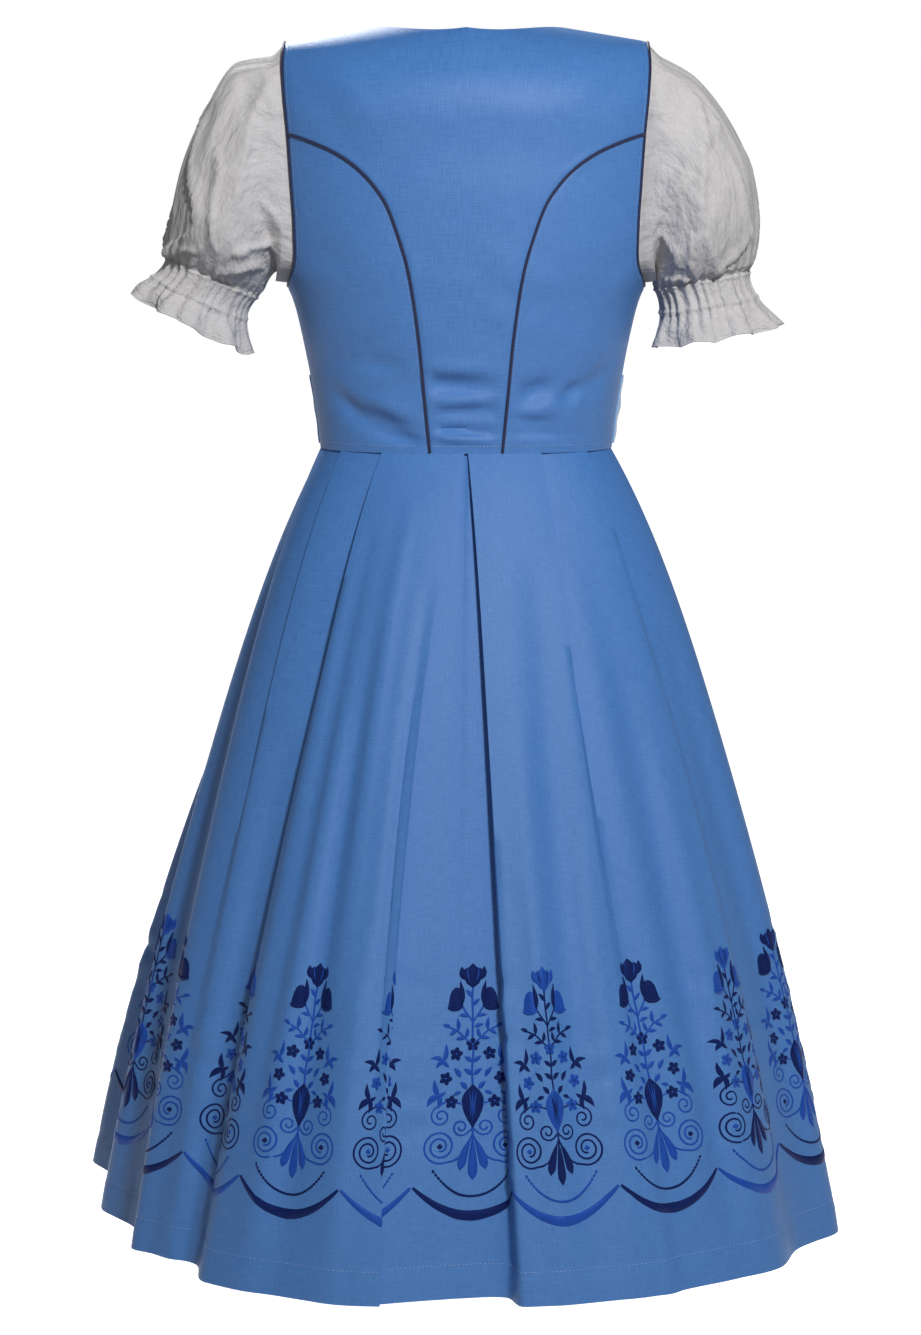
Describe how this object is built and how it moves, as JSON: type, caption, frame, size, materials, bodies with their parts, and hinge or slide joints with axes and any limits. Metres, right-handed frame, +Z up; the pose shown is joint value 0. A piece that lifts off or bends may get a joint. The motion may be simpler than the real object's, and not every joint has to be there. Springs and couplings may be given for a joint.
{
  "type": "dirndl dress with puff sleeved blouse",
  "caption": "Worn dirndl: princess seamed bodice with dark piping, puff sleeves with ruffled cuffs, and a pleated midi skirt with an embroidered border.",
  "frame": {"origin": "midway between the two shoulder seams, at their height, where the wearer's shoulders carry the dress", "axes": "+Z up; the front faces -Y and the back +Y; the wearer's left is +X"},
  "size_m": [0.7023, 0.6022, 1.0714],
  "materials": {
    "twill": "matt blue cotton blend twill with a slight sheen",
    "piping": "navy cotton piping",
    "satin": "light blue satin",
    "button": "glossy navy",
    "cotton": "thin white cotton"
  },
  "bodies": {
    "root": {"back_centre": "twill", "back_side_l": "twill", "back_side_r": "twill", "front_side_l": "twill", "front_side_r": "twill", "front_centre_l": "twill", "front_centre_r": "twill", "skirt_back_left": "twill", "skirt_back_right": "twill", "skirt_front": "twill", "princess_piping_l": "piping", "princess_piping_r": "piping", "armhole_piping_l": "piping", "armhole_piping_r": "piping", "waist_band": "satin", "button_1": "button", "button_2": "button", "button_3": "button", "button_4": "button", "button_5": "button", "sleeve_l": "cotton", "sleeve_r": "cotton", "blouse_back": "cotton", "blouse_front": "cotton"}
  },
  "joints": []
}
